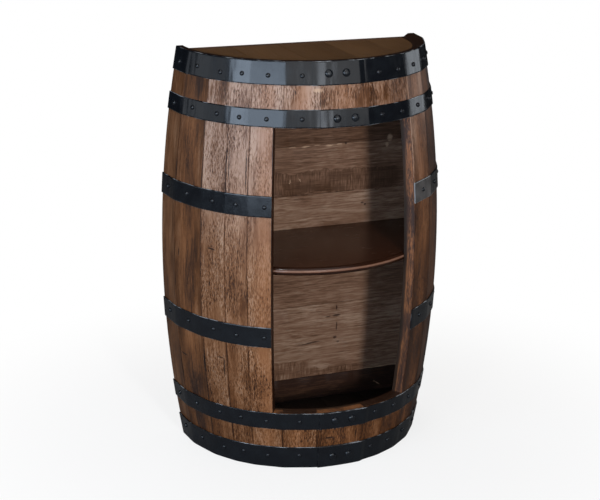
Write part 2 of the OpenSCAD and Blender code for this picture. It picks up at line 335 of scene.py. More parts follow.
def as_mesh(name: str, bm: Shape) -> bpy.types.Mesh:
    """Turns a shape into a mesh.

    Args:
        name: The mesh's name.
        bm: The shape. It is freed.

    Returns:
        The mesh, with its faces the right way out.
    """
    bmesh.ops.recalc_face_normals(bm, faces=bm.faces)
    mesh = bpy.data.meshes.new(name)
    bm.to_mesh(mesh)
    bm.free()
    return mesh


def in_scene(name: str, data: Any) -> bpy.types.Object:
    """Puts a mesh, a lamp or a camera in the scene.

    Args:
        name: The object's name.
        data: What it shows.

    Returns:
        The object.
    """
    item = bpy.data.objects.new(name, data)
    bpy.context.scene.collection.objects.link(item)
    return item


@dataclass(frozen=True)
class Piece:
    """What a finished mesh needs besides its shape."""

    name: str
    replaces: str
    slot: str
    grain: Grain = Grain.STAVE
    tone: float = 0.5
    coarse: float = 0.5
    sharp_angle: float = 35.0

    def add(self, bm: Shape, material: Material, shade: Shade = lambda point: 0.0) -> None:
        """Makes the object, writes what its finish reads, and sets it on the frame.

        Args:
            bm: The finished shape, in metres and in place. It is freed.
            material: The finish.
            shade: How much darker the finish is at a point.
        """
        mesh = as_mesh(self.name, bm)
        mesh.shade_smooth()
        mesh.set_sharp_from_angle(angle=math.radians(self.sharp_angle))
        board = random.Random(self.name).uniform(0, 1000)
        grain, look = [], []
        for vertex in mesh.vertices:
            grain.extend(self.grain.coordinates(vertex.co))
            look.extend((self.tone - shade(vertex.co), self.coarse, board))
        for name, values in (("grain", grain), ("look", look)):
            mesh.attributes.new(name, "FLOAT_VECTOR", "POINT").data.foreach_set("vector", values)
        mesh.materials.append(material)
        piece = in_scene(self.name, mesh)
        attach(piece, "root")
        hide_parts(self.replaces)
        LOG.info("%s: %d faces", self.name, len(mesh.polygons))


def spun(profile: Profile, angles: Sequence[float], move: Move = lambda angle, radius, z: radius,
         weld: bool = False) -> Shape:
    """Spins a closed profile round the barrel's axis, in steps of any size.

    Args:
        profile: Radius and height of each corner.
        angles: The angle of each step, from the first to the last.
        move: Gives a corner's new radius from its angle, radius and height.
        weld: Says whether vertices in one place become one, as the profile touches the axis or itself.

    Returns:
        A closed solid.
    """
    bm = bmesh.new()
    corners = [bm.verts.new(BARREL.place(angles[0], r, z)) for r, z in profile]
    face = bm.faces.new(corners)
    span, steps = angles[-1] - angles[0], len(angles) - 1
    bmesh.ops.spin(bm, geom=[*corners, *face.edges, face], cent=BARREL.place(0, 0, 0), axis=(0, 0, 1),
                   angle=math.radians(span), steps=steps, use_merge=False, use_duplicate=False)
    for vertex in bm.verts:
        angle, radius, z = BARREL.polar(vertex.co)
        if radius > 0.1:
            angle = angles[round((angle - angles[0]) / span * steps)]
            vertex.co = BARREL.place(angle, move(angle, radius, z), z)
    if weld:
        bmesh.ops.remove_doubles(bm, verts=bm.verts, dist=WELD)
    return bm


def turned(profile: Profile, steps: int) -> Shape:
    """Turns a fastener on the Z axis.

    Args:
        profile: Its half outline, from one end of the axis to the other.
        steps: Steps round it.

    Returns:
        A closed solid.
    """
    bm = bmesh.new()
    corners = [bm.verts.new((r * MM, 0, z * MM)) for r, z in profile]
    edges = [bm.edges.new(pair) for pair in zip(corners, corners[1:])]
    bmesh.ops.spin(bm, geom=[*corners, *edges], cent=(0, 0, 0), axis=(0, 0, 1), angle=math.tau, steps=steps,
                   use_merge=True, use_duplicate=False)
    bmesh.ops.remove_doubles(bm, verts=bm.verts, dist=WELD)
    return bm


def copied(bm: Shape, places: Sequence[Matrix]) -> Shape:
    """Sets copies of a fastener in their places.

    Args:
        bm: The fastener. It is freed.
        places: Where the copies stand, in metres.

    Returns:
        The copies as one shape.
    """
    mesh = as_mesh("fastener", bm)
    group = bmesh.new()
    for place in places:
        first = len(group.verts)
        group.from_mesh(mesh)
        group.verts.ensure_lookup_table()
        bmesh.ops.transform(group, verts=group.verts[first:], matrix=place)
    bpy.data.meshes.remove(mesh)
    return group


def bevelled(bm: Shape, chosen: Callable[[Edge], bool], offset: float) -> None:
    """Rounds some of a shape's edges.

    Args:
        bm: The shape.
        chosen: Says which edges are rounded.
        offset: Width of the round, in millimetres.
    """
    edges = [edge for edge in bm.edges if edge.is_manifold and chosen(edge)]
    bmesh.ops.bevel(bm, geom=edges, offset=offset * MM, segments=2, profile=0.5, affect="EDGES", material=-1)


def lies_on(edge: Edge, planes: dict[int, Sequence[float]]) -> bool:
    """Says whether an edge lies in one plane of each axis; the planes' places are in millimetres."""
    return all(any(all(abs(vertex.co[axis] / MM - place) < SAME for vertex in edge.verts) for place in places)
               for axis, places in planes.items())


def sliced(bm: Shape, point: Sequence[float], normal: Sequence[float], **settings: bool) -> list[Any]:
    """Slices a shape along a plane, and gives the new vertices and edges."""
    return bmesh.ops.bisect_plane(bm, geom=[*bm.verts, *bm.edges, *bm.faces], dist=WELD, plane_co=point,
                                  plane_no=normal, **settings)["geom_cut"]


def levelled(bm: Shape, step: float) -> Shape:
    """Slices a tall shape at even heights, so that none of its faces is long and bent.

    Args:
        bm: The shape.
        step: Height of a slice, in millimetres.

    Returns:
        The same shape.
    """
    for i in range(1, round(BARREL.height / step)):
        sliced(bm, (0, 0, i * step * MM), (0, 0, 1))
    return bm


def cut_away(solid: Shape, cutter: Shape) -> Shape:
    """Cuts one shape out of another.

    Args:
        solid: The shape. It is freed.
        cutter: The shape to cut away. It is freed.

    Returns:
        What is left of the solid.
    """
    piece, tool = (in_scene(name, as_mesh(name, bm)) for name, bm in (("solid", solid), ("cutter", cutter)))
    cut = piece.modifiers.new("cut", "BOOLEAN")
    cut.operation, cut.object = "DIFFERENCE", tool
    bpy.context.view_layer.update()
    result = bpy.data.meshes.new_from_object(piece.evaluated_get(bpy.context.evaluated_depsgraph_get()))
    left = bmesh.new()
    left.from_mesh(result)
    for mesh in (result, piece.data, tool.data):
        bpy.data.meshes.remove(mesh)
    return left


@dataclass(frozen=True)
class Spots:
    """A noise stretched along the fibres: the size of its spots in millimetres, its octaves and a seed."""

    across: float
    along: float
    octaves: float
    seed: float

    def at(self, place: Value) -> Value:
        """Gives the noise at a place in the grain.

        Args:
            place: The place.

        Returns:
            A number of about 0.5 with a spread of 0.15.
        """
        scale = (1 / self.across, 1 / self.across, 1 / self.along)
        inputs = {"Vector": place, "Location": (self.seed,) * 3, "Scale": scale}
        return noise_at(add_node(place.tree, "ShaderNodeMapping", inputs), 1.0, self.octaves, Roughness=0.6)


@dataclass(frozen=True)
class Mark:
    """A knot, a crack, a stain or a pale chip in the wood, in the millimetres of the grain's coordinates."""

    across: float
    along: float
    half_width: float
    half_length: float
    tilt: float = 0.0

    def cover(self, place: Value) -> Value:
        """Gives the cover of the mark.

        Args:
            place: The place in the grain.

        Returns:
            A number from 0 outside it to 1 in its middle.
        """
        inside = add_node(place.tree, "ShaderNodeMapping", {
            "Vector": place, "Location": (self.across, 0, self.along),
            "Rotation": (0, math.radians(self.tilt), 0),
            "Scale": (self.half_width, 1000, self.half_length)}, vector_type="TEXTURE")
        away = add_node(place.tree, "ShaderNodeVectorMath", {0: inside}, "Value", operation="LENGTH")
        return away.ramp(1.25, 0.6)


@dataclass(frozen=True)
class Sawn:
    """A stretch of a board that the saw left rough, in the millimetres of the grain's coordinates."""

    low: float
    high: float
    left: float
    right: float
    edge: float = 2.0
    fade: float = 30.0

    def cover(self, across: Value, along: Value) -> Value:
        """Gives the cover of the stretch.

        Args:
            across: The place across the fibres.
            along: The place along the fibres.

        Returns:
            A number from 0 outside it to 1 inside.
        """
        upright = across.ramp(self.low - self.edge, self.low + self.edge) * across.ramp(
            self.high + self.edge, self.high - self.edge)
        return upright * along.ramp(self.left - self.fade, self.left + self.fade) * along.ramp(
            self.right + self.fade, self.right - self.fade)


@dataclass(frozen=True)
class Oak:
    """Old oak with a stain: short open pores, paler raised fibres where it is coarse, knots and cracks."""

    name: str
    colours: tuple[str, str, str, str]
    raw: tuple[str, ...] = ()
    roughness: float = 0.5
    relief: float = 1.0
    contrast: float = 1.0
    blotchy: float = 1.1
    streaky: float = 0.75
    bend: float = 26.0
    fibre_w: float = 3.6
    pore: tuple[float, float] = (1.5, 9.0)
    knots: tuple[Mark, ...] = ()
    knot_colour: str = "#150c08"
    chips: tuple[Mark, ...] = ()
    chip_colour: str = "#b89a80"
    stains: tuple[Mark, ...] = ()
    sawn: tuple[Sawn, ...] = ()
    saw_drift: float = 30.0
    face: float = 1000.0
    painted_sheen_heights: tuple[float, ...] = ()
    painted_sheen_colour: str = "#a68e80"
    board_shift: tuple[float, float, float] = (0.37, 0.13, 0.91)
    bends: Spots = Spots(80, 260, 2, 9.0)
    patches: Spots = Spots(50, 170, 3, 1.0)
    raised: Spots = Spots(45, 90, 2, 6.0)
    saw_edge: Spots = Spots(400, 30, 2, 4.0)
    saw_gaps: Spots = Spots(22, 60, 1, 8.0)
    saw_teeth: Spots = Spots(30, 3.4, 2, 15.0)
    fibre_l: float = 75.0
    torn: float = 0.45
    saw_dark: float = 0.09
    saw_rim_dark: float = 0.6
    stain_dark: float = 0.16
    stain_rag: float = 60.0
    painted_foot_shade: float = 0.13
    painted_foot_shade_range: tuple[float, float] = (450.0, 150.0)
    middle_stops: tuple[float, float] = (0.35, 0.65)
    pore_range: tuple[float, float] = (0.6, 0.7)
    painted_sheen_share: float = 0.75
    charred_from: tuple[float, float] = (20.0, 25.0)
    raw_from: tuple[float, float] = (1.0, 4.0)
    rawness: float = 0.9
    knot_rag: float = 5.0
    knot_cover: float = 0.85
    chip_rag: float = 9.0
    chip_cover: float = 0.7
    specular: float = 0.4

    def build(self) -> Material:
        """Makes the material.

        Returns:
            A material that reads the grain and the look of the piece.
        """
        material, tree, shader = new_material(self.name)
        grain = add_node(tree, "ShaderNodeAttribute", None, "Vector", attribute_name="grain")
        look = add_node(tree, "ShaderNodeAttribute", None, "Vector", attribute_name="look")
        (tone, coarse, board), (across, depth, along) = look.parts(), grain.parts()
        # Every board has fibres of its own, which bend slowly, and patches that took more or less stain.
        place = add_node(tree, "ShaderNodeVectorMath", {0: board, 1: self.board_shift, 2: grain},
                         operation="MULTIPLY_ADD")
        place = place.moved(self.bends.at(place) * self.bend)
        blotch = self.patches.at(place)
        fibre = Spots(self.fibre_w, self.fibre_l, 4, 2.0).at(place)
        fine = Spots(*self.pore, 2, 3.0).at(place)
        rough = coarse * self.raised.at(place).ramp(0.3, 0.6)
        # Saw strokes run across the fibres and fade out in places; they are seen on the board's face alone.
        on_face = depth.ramp(self.face + 4, self.face)
        drift = across + (self.saw_edge.at(place) - 0.5) * self.saw_drift
        broken = self.saw_gaps.at(place).ramp(0.35, 0.6) * 0.5 + 0.5
        sawn = greatest(tree, [part.cover(drift, along) for part in self.sawn]) * broken * on_face
        detail = sawn.mix(fine, self.saw_teeth.at(place))
        # The level is how pale the wood is: patches and fibres, pores or saw strokes, dirt and stains.
        level = (blotch - 0.5) * self.blotchy + (fibre - 0.5) * (self.streaky - sawn * (self.streaky * 0.7))
        strength = rough.maths("MAXIMUM", rough, sawn * self.torn) * 2.2 + 0.3
        level = (level + (detail - 0.5) * strength) * self.contrast + tone
        level = level - sawn * self.saw_dark - sawn * (1.0 - sawn) * self.saw_rim_dark
        place = grain.ragged(blotch, self.stain_rag)
        level = level - greatest(tree, [mark.cover(place) for mark in self.stains]) * self.stain_dark
        # Painted shade: the wood is made darker towards the foot of a stave.
        if self.painted_sheen_heights:
            level = level - along.ramp(*self.painted_foot_shade_range) * self.painted_foot_shade
        colour = add_node(tree, "ShaderNodeValToRGB", {"Fac": level})
        stops = colour.node.color_ramp.elements
        for middle in self.middle_stops:
            stops.new(middle)
        for stop, hex_colour in zip(stops, self.colours):
            stop.color = linear(hex_colour)
        colour = (fine.ramp(*self.pore_range) * (rough * 0.5 + 0.25)).mix(colour, self.colours[0])
        # Painted sheen: coarse wood high on a stave is mixed towards a pale grey.
        if self.painted_sheen_heights:
            pale = coarse * along.ramp(*self.painted_sheen_heights) * level.ramp(0.25, 0.75)
            colour = (pale * self.painted_sheen_share).mix(colour, self.painted_sheen_colour)
        if self.raw:
            # The sawn side of a stave is bare wood, with the dark inside of the barrel along its edge.
            raw = level.ramp(0.0, 0.44).mix(self.raw[0], self.raw[1])
            raw = (depth + fine * 6.0).ramp(*self.charred_from).mix(raw, self.raw[2])
            colour = (depth.ramp(*self.raw_from) * tone.ramp(-0.2, 0.2) * self.rawness).mix(colour, raw)
        place = grain.ragged(fine, self.knot_rag)
        knots = greatest(tree, [mark.cover(place) for mark in self.knots])
        colour = (knots * self.knot_cover).mix(colour, self.knot_colour)
        place = grain.ragged(fine, self.chip_rag)
        chips = greatest(tree, [mark.cover(place) for mark in self.chips])
        colour = (chips * on_face * self.chip_cover).mix(colour, self.chip_colour)
        height = detail * (rough + 0.12) + fibre * 0.35 - knots * 0.8
        inputs = {"Height": height, "Distance": self.relief * MM, "Strength": 1.0}
        bump = add_node(tree, "ShaderNodeBump", inputs)
        gloss = fibre * 0.25 + (self.roughness - 0.12)
        connect(shader, {"Base Color": colour, "Roughness": gloss, "Normal": bump,
                         "Specular IOR Level": self.specular})
        return material


@dataclass(frozen=True)
class BlackSteel:
    """Steel strip with a thin black paint: satin, bluish, a little uneven, and rubbed bright at its edges."""

    name: str
    paint: tuple[str, str] = ("#101216", "#14171b")
    reflection_paint: str = "#6a6766"
    bare: str = "#7f8286"
    roughness: float = 0.17
    dent_scale: tuple[float, float, float] = (42.0, 42.0, 5.0)
    dent: float = 30.0
    relief: float = 0.05

    def build(self) -> Material:
        """Makes the material.

        Returns:
            A material for pieces of any shape, in object coordinates.
        """
        material, tree, shader = new_material(self.name)
        place = add_node(tree, "ShaderNodeTexCoord", output="Object")
        smudge, speck = noise_at(place, 40.0, 4.0), noise_at(place, 420.0, 2.0)
        edge, reflection_paint, _ = add_node(tree, "ShaderNodeAttribute", None, "Vector", attribute_name="look").parts()
        # One strip's face has a painted reflection; the paint is rubbed through in patches along the edges.
        colour = smudge.ramp(0.35, 0.75).mix(*self.paint)
        colour = (reflection_paint * edge.ramp(-0.6, 0.0) * smudge).mix(colour, self.reflection_paint)
        colour = (edge + smudge * 1.2).ramp(1.55, 1.75).mix(colour, self.bare)
        rough = add_node(tree, "ShaderNodeMapRange", {
            "Value": smudge, "From Min": 0.3, "From Max": 0.7,
            "To Min": self.roughness - 0.02, "To Max": self.roughness + 0.06})
        upright = add_node(tree, "ShaderNodeMapping", {"Vector": place, "Scale": self.dent_scale})
        dents = noise_at(upright, 1.0, 1.5)
        bump = add_node(tree, "ShaderNodeBump", {
            "Height": dents * self.dent + speck, "Distance": self.relief * MM, "Strength": 1.0})
        connect(shader, {"Base Color": colour, "Roughness": rough, "Normal": bump})
        return material


@dataclass(frozen=True)
class Zinc:
    """Zinc plated steel of a wood screw: pale grey metal with a soft shine."""

    name: str = "zinc plated screw steel"

    def build(self) -> Material:
        """Makes the material.

        Returns:
            A material for pieces of any shape, in object coordinates.
        """
        material, tree, shader = new_material(self.name)
        smudge = noise_at(add_node(tree, "ShaderNodeTexCoord", output="Object"), 900.0, 3.0)
        connect(shader, {"Base Color": smudge.mix("#8f9296", "#b9bcc0"), "Metallic": 1.0,
                         "Roughness": smudge.ramp(0.0, 2.2)})
        return material


@dataclass(frozen=True)
class Staves:
    """The staves: nine of full height, and the stubs above and below the opening."""

    first_cut: int = 5
    cut_count: int = 4
    notch: float = 3.9
    cut_reach: tuple[float, float] = (200.0, 360.0)
    rim_flat: float = 12.0
    rim_bevel_h: float = 9.0
    cut_lip: float = 2.5
    croze_depth: float = 5.0
    top_croze: tuple[float, float] = (874.2, 883.8)
    bottom_croze: tuple[float, float] = (24.2, 33.8)
    stands_out: tuple[float, float] = (-0.35, 0.1)
    arris: float = 0.9
    joint_w: float = 0.5
    profile_step: float = 25.0
    turn_step: float = 1.6
    tones: tuple[float, ...] = (0.43, 0.33, 0.54, 0.51, 0.57, 0.5, 0.44, 0.41, 0.4, 0.22, 0.2, 0.25, 0.3)
    coarse: tuple[float, ...] = (0.1, 0.15, 1.0, 0.9, 0.95, 1.0, 0.8, 0.7, 0.6, 0.45, 0.3, 0.2, 0.2)
    joint_dirt: tuple[float, float] = (0.08, 0.6)
    dirt_step: float = 55.0
    clean_above: float = 790.0
    clean_joint: float = 0.04
    rim_dark: float = 0.8
    painted_cut_shade: float = 0.7
    painted_shade_sills: tuple[int, ...] = (5, 7, 8)
    pale_stave: int = 9
    pale: float = 0.14
    pale_arris: float = 0.4
    painted_sheen_range: tuple[float, float] = (560.0, 650.0)
    sawn_side_light_range: tuple[float, float] = (650.0, 200.0)
    sawn_side_light_tones: tuple[float, float] = (0.09, 0.23)
    pale_feet: tuple[int, ...] = (3, 4)
    foot: float = 100.0
    foot_pale: float = 0.1

    def profile(self, low: float, high: float) -> Profile:
        """Gives the outline of a stave between two heights, with its rims and croze grooves.

        Args:
            low: Lower end.
            high: Upper end.

        Returns:
            The outline, outside first, going up.
        """
        levels = spread(low, high, max(4, round((high - low) / self.profile_step)))
        outside = [(BARREL.wood_r(z), z) for z in levels]
        inside = [(BARREL.inner_r(z), z) for z in levels[1:-1]]
        ends = []
        for z, away in ((low, 1), (high, -1)):
            radius, within = BARREL.wood_r(z), z + away * self.rim_bevel_h
            if z in (0.0, BARREL.height):
                ends.append([(radius - self.rim_flat, z), (BARREL.inner_r(within), within)])
            else:
                ends.append([(radius - self.cut_lip, z), (BARREL.inner_r(z), z)])
        for (bottom, top), end in ((self.bottom_croze, 0.0), (self.top_croze, BARREL.height)):
            if low <= end <= high:
                inside = [p for p in inside if abs(p[1] - end) > 2 * self.rim_bevel_h
                          and not bottom - 2 < p[1] < top + 2]
                inside += [(BARREL.inner_r(z) + depth, z) for z, depth in (
                    (bottom, 0), (bottom, self.croze_depth), (top, self.croze_depth), (top, 0))]
        inside.sort(key=lambda point: point[1])
        return outside + ends[1] + inside[::-1] + ends[0][::-1]

    def angles(self, stave: int) -> list[float]:
        """Gives the steps across a stave, which include the sawn side of the opening.

        Args:
            stave: Its number.

        Returns:
            The angles, from left to right.
        """
        left, right = BARREL.edge(stave), BARREL.edge(stave + 1)
        first, last = left + self.joint_w, right - self.joint_w
        steps = [left, *spread(first, last, max(6, round((last - first) / self.turn_step))), right]
        if stave == self.first_cut - 1:
            steps = sorted([*steps, self.cut_side(stave) - self.joint_w / 2])
        return steps

    def solid(self, stave: int, low: float, high: float) -> Shape:
        """Makes one stave, or the stub of one.

        Args:
            stave: Its number.
            low: Lower end.
            high: Upper end.

        Returns:
            The shape, with its arrises rounded.
        """
        out = random.Random(stave).uniform(*self.stands_out)
        sides = (BARREL.edge(stave), BARREL.edge(stave + 1))

        def is_arris(edge: Edge) -> bool:
            """Says whether an edge is an outer corner at a joint.

            Args:
                edge: The edge.

            Returns:
                Whether it is one.
            """
            places = [BARREL.polar(vertex.co) for vertex in edge.verts]
            outer = all(radius > BARREL.wood_r(z) - 3 for _, radius, z in places)
            return outer and any(all(abs(angle - side) < 0.05 for angle, _, _ in places) for side in sides)

        bm = spun(self.profile(low, high), self.angles(stave), lambda angle, radius, z: (
            radius - BARREL.flat(angle, z) + out if radius > BARREL.wood_r(z) - 1 else radius))
        bevelled(bm, is_arris, self.arris)
        return levelled(bm, self.profile_step)

    def shade(self, stave: int, point: Vector) -> float:
        """Says how much darker a stave is at a point: dirt in joints, painted shade and sheen on some faces.

        Args:
            stave: Its number.
            point: The point.

        Returns:
            The difference in tone, which is under 0 where the stave is paler.
        """
        angle, radius, z = BARREL.polar(point)
        deep = BARREL.wood_r(z) - radius
        outer = deep < self.arris * 3
        open_side = BARREL.edge(self.first_cut + self.cut_count)
        sides = (BARREL.edge(stave), BARREL.edge(stave + 1))
        joints = [side for side in sides if abs(side - open_side) > 0.1]
        if z > self.top_croze[0] and (deep > 2 or z > BARREL.height - 0.5):
            return self.rim_dark
        if outer and min(abs(angle - side) for side in joints) < self.joint_w * 0.8:
            dirt = 0.15 + 1.6 * noise.noise(Vector((z / self.dirt_step, stave * 7.3, 0)))
            least, most = self.joint_dirt
            return min(most, max(least, dirt)) if z < self.clean_above else self.clean_joint
        # Painted light and shade on this stave's sawn side: darker at the top, paler towards the foot.
        if stave == self.pale_stave and abs(angle - open_side) < 0.05 and deep > 0.7:
            return self.sawn_side_light_tones[0] - self.sawn_side_light_tones[1] * share(z, *self.sawn_side_light_range)
        # Painted shade on the sawn side of the notched stave.
        if stave == self.first_cut - 1 and abs(angle - self.cut_side(stave)) < 0.1:
            return self.painted_cut_shade
        if outer and z < self.foot and stave in self.pale_feet:
            return -self.foot_pale
        # Painted sheen: the upper part of this stave is made paler, and its worn arris more so.
        if outer and stave == self.pale_stave:
            arris = self.pale_arris if abs(angle - open_side) < self.joint_w / 2 else 0.0
            return -(self.pale + arris) * share(z, *self.painted_sheen_range)
        # Painted shade on the tops of some sill stubs.
        on_sill = deep > 2 and stave in self.painted_shade_sills and z < BARREL.height / 2
        return self.painted_cut_shade if on_sill and abs(z - heights("sill_stave_1")[1]) < 0.1 else 0.0

    def cut_side(self, stave: int) -> float:
        """Angle of the sawn side of the notched stave."""
        return BARREL.edge(stave + 1) - self.notch

    def saw_opening(self, bm: Shape, low: float, high: float) -> Shape:
        """Cuts the side of the opening into a stave.

        Args:
            bm: The stave.
            low: Lower end of the opening.
            high: Upper end of the opening.

        Returns:
            The notched stave.
        """
        near, far = self.cut_reach
        right = BARREL.edge(self.first_cut)
        cutter = spun([(near, low), (far, low), (far, high), (near, high)],
                      [self.cut_side(self.first_cut - 1), right, right + 2])
        return levelled(cut_away(bm, cutter), self.profile_step)

    def build(self, material: Material, low: float, high: float) -> None:
        """Makes every stave.

        Args:
            material: The finish.
            low: Lower end of the opening.
            high: Upper end of the opening.
        """
        for stave in range(len(BARREL.shares)):
            offset = stave - self.first_cut
            if 0 <= offset < self.cut_count:
                made = [(f"{kind}_stub_{offset + 1}", f"{kind}_stave_{offset + 1}", ends)
                        for kind, ends in (("header", (high, BARREL.height)), ("sill", (0.0, low)))]
            else:
                side, number = ("left", stave) if offset < 0 else ("right", offset - self.cut_count)
                node = f"{side}_stave_{number + 1}"
                made = [(f"oak_{node}", node, (0.0, BARREL.height))]
            for name, node, ends in made:
                bm = self.solid(stave, *ends)
                if stave == self.first_cut - 1:
                    bm = self.saw_opening(bm, low, high)
                piece = Piece(name, node, "stave_oak", tone=self.tones[stave], coarse=self.coarse[stave])
                piece.add(bm, material, partial(self.shade, stave))


@dataclass(frozen=True)
class Hoops:
    """The hoops: steel strips bent in flats round the staves, riveted where the right one laps the left."""

    thickness: float = 2.5
    fit: float = 0.3
    corner: float = 0.5
    worn_width: float = 2.5
    tilt: float = 0.35
    step: float = 1.0
    end_step: float = 0.3
    lap_step: float = 2.2
    laps: tuple[tuple[str, float], ...] = (
        ("top_head", -4.0), ("top_quarter", -1.0), ("bottom_head", 0.0), ("bottom_quarter", 0.0))
    lap_left: float = 10.5
    lap_right: float = 9.0
    bilge: tuple[str, ...] = ("top_bilge", "bottom_bilge")
    opening: tuple[float, float] = (-30.1, 32.4)
    painted_reflection: str = "top_bilge_hoop_right"
    painted_reflection_end: float = 47.0
    rubbed: float = -1.0
    bare: float = -1.3
    reflection_off: float = 0.6

    def strip(self, name: str, start: float, end: float, lap_end: Optional[float] = None) -> Shape:
        """Makes one strip, a cone that touches the barrel at both its edges.

        Args:
            name: The node that it stands for.
            start: Angle of its left end.
            end: Angle of its right end.
            lap_end: Angle where it steps down from the lap, if it laps over another.

        Returns:
            The shape.
        """
        low, high = heights(name)
        pick = random.Random(name)
        tilts = [pick.uniform(-self.tilt, self.tilt) for _ in BARREL.shares]
        c, w, t = self.corner, self.worn_width, self.thickness
        section = [(0, low + c), (c, low), (t - c, low), (t, low + c), (t, low + w), (t, high - w),
                   (t, high - c), (t - c, high), (c, high), (0, high - c)]
        slope = (BARREL.wood_r(high) - BARREL.wood_r(low)) / (high - low)
        outline = [(BARREL.wood_r(low) + slope * (z - low) + self.fit + out, z) for out, z in section]

        def bent(angle: float, radius: float, z: float) -> float:
            """Sets a corner on the flats, each of which is tilted a little, or up on the lap.

            Args:
                angle: Its angle.
                radius: Its radius on the true circle.
                z: Its height.

            Returns:
                Its new radius.
            """
            stave = BARREL.stave_at(angle)
            side = (angle - BARREL.middle(stave)) / BARREL.half(stave)
            lap = 0.0 if lap_end is None else share(angle, lap_end + self.lap_step, lap_end)
            flat = BARREL.blended_flat(angle, z) - tilts[stave] * side * (1 - side * side)
            return radius - flat + (t + self.fit) * lap

        marks = [start, start + self.end_step, *spread(start, end, math.ceil((end - start) / self.step))[1:]]
        if lap_end is not None:
            marks = sorted({*marks, lap_end, lap_end + self.lap_step})
        return spun(outline, marks, bent)

    def shade(self, painted_reflection: bool, low: float, high: float, point: Vector) -> float:
        """Says where the paint of a strip is rubbed, and where its painted reflection ends.

        Args:
            painted_reflection: Whether the strip is the one with a painted reflection.
            low: Its lower edge.
            high: Its upper edge.
            point: The point.

        Returns:
            Under 0 where it is rubbed, and over 0 where there is no painted reflection.
        """
        angle, _, z = BARREL.polar(point)
        arris = self.corner + 0.1
        if not painted_reflection:
            return self.rubbed if min(z - low, high - z) < arris else 0.0
        if angle < self.opening[1] + 0.1 or z < low + arris:
            return self.bare
        # Painted reflection on this hoop's front flats, up to the edge of a flat.
        return 0.0 if angle < self.painted_reflection_end else self.reflection_off

    def build(self, material: Material) -> None:
        """Makes the twelve strips.

        Args:
            material: The finish.
        """
        strips = []
        for hoop, lap in self.laps:
            lap_end = lap + self.lap_right
            strips += [(f"{hoop}_hoop_left", -90, lap_end, None),
                       (f"{hoop}_hoop_right", lap - self.lap_left, 90, lap_end + self.lap_step / 2)]
        for hoop in self.bilge:
            strips += [(f"{hoop}_hoop_left", -90, self.opening[0], None),
                       (f"{hoop}_hoop_right", self.opening[1], 90, None)]
        for name, *ends in strips:
            painted_reflection = name == self.painted_reflection
            piece = Piece(f"steel_{name}", name, "hoop_steel", tone=0.0, coarse=float(painted_reflection), sharp_angle=50)
            piece.add(self.strip(name, *ends), material, partial(self.shade, painted_reflection, *heights(name)))


@dataclass(frozen=True)
class Fasteners:
    """The round-headed nails and the lap rivets, hammered down on the hoops."""

    nail: Profile = ((0, -22), (1.2, -22), (2, -18), (2, -1), (4.9, -0.4), (5, 0.4), (4.6, 1.5), (3.6, 2.6),
                     (2.2, 3.3), (0, 3.5))
    rivet: Profile = ((0, -5.3), (3.5, -5.3), (3.5, -0.5), (8.3, -0.4), (8.5, 0.5), (7.9, 2), (6.6, 3.5),
                      (4.6, 4.6), (2.4, 5), (0, 5.05))
    rivet_angle: float = 3.8
    lap_stave: int = 6
    sunk: float = 0.1
    off_middle: tuple[tuple[str, float], ...] = (("top_head", -5.0), ("bottom_head", 4.0))
    scatter: float = 2.0
    tilt: float = 3.0

    def on_hoop(self, hoops: Hoops, hoop: str, angle: float, layer: float, pick: random.Random) -> Matrix:
        """Gives the place of a fastener on a hoop.

        Args:
            hoops: The strips.
            hoop: The hoop's name, without its side.
            angle: Angle round the barrel.
            layer: Height above the lower strip.
            pick: Gives the small errors of the hammering.

        Returns:
            A placing in metres, with +Z out of the hoop.
        """
        low, high = heights(f"{hoop}_hoop_left")
        middle = (low + high) / 2
        slope = (BARREL.wood_r(low) - BARREL.wood_r(high)) / (high - low)
        radius = (BARREL.wood_r(low) + BARREL.wood_r(high)) / 2 + hoops.fit + hoops.thickness + layer
        radius -= BARREL.blended_flat(angle, middle) - self.sunk
        tilt = turn(pick.uniform(-self.tilt, self.tilt), "X") @ turn(pick.uniform(-self.tilt, self.tilt), "Y")
        return (shift(0, BARREL.axis_y * MM, 0) @ turn(angle, "Z") @ shift(0, -radius * MM, middle * MM)
                @ turn(90 - math.degrees(math.atan(slope)), "X") @ tilt)

    def build(self, material: Material, hoops: Hoops) -> None:
        """Makes every nail and every rivet.

        Args:
            material: The finish.
            hoops: The strips that they hold.
        """
        pick = random.Random(5)
        nails, rivets = [], []
        for hoop in (*dict(hoops.laps), *hoops.bilge):
            for stave in range(len(BARREL.shares)):
                angle = BARREL.middle(stave)
                cut_off = hoop in hoops.bilge and BARREL.edge(Staves.first_cut) < angle < hoops.opening[1]
                if stave != self.lap_stave and not cut_off:
                    up = dict(self.off_middle).get(hoop, 0.0) + pick.uniform(-self.scatter, self.scatter)
                    nails.append(self.on_hoop(hoops, hoop, angle, 0, pick) @ shift(0, up * MM, 0))
        for hoop, lap in hoops.laps:
            for side in (-1, 1):
                layer = hoops.thickness + hoops.fit
                rivets.append(self.on_hoop(hoops, hoop, lap + side * self.rivet_angle, layer, pick))
        for name, bm in (("hoop_nails", copied(turned(self.nail, 16), nails)),
                         ("lap_rivets", copied(turned(self.rivet, 24), rivets))):
            Piece(f"steel_{name}", name, "hoop_steel", tone=0.3, coarse=0.0, sharp_angle=60).add(bm, material)


